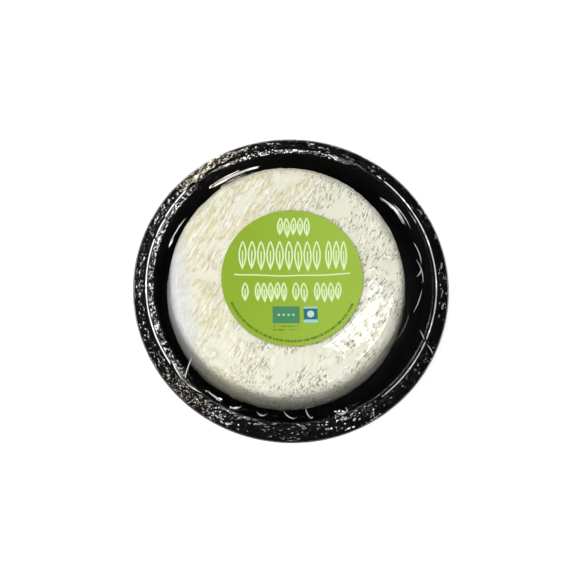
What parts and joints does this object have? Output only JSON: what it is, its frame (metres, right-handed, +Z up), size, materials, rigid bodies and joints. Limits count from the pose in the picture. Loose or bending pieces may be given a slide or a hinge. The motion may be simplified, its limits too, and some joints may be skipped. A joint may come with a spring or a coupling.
{
  "type": "camembert cheese in oven dish",
  "caption": "Small round camembert with a soft white rind, sealed with its shallow round black oven dish under taut clear film, with a round green sticker on top.",
  "frame": {"origin": "on the dish's axis, at the surface that the pack stands on, which is the film under its base", "axes": "+Z up out of the dish, +X to the right and -Y towards the viewer when the rows printed on the sticker lie level"},
  "size_m": [0.113, 0.113, 0.0262],
  "materials": {
    "dish": "satin black ovenable plastic",
    "rind": "matte bloomy rind, ivory with fine pressed strokes",
    "film": "clear glossy shrink film, crinkled over the rim",
    "label": "smooth printed paper sticker, green with pale strokes"
  },
  "bodies": {
    "root": {"dish": "dish", "cheese": "rind", "film": "film", "label": "label"}
  },
  "joints": []
}
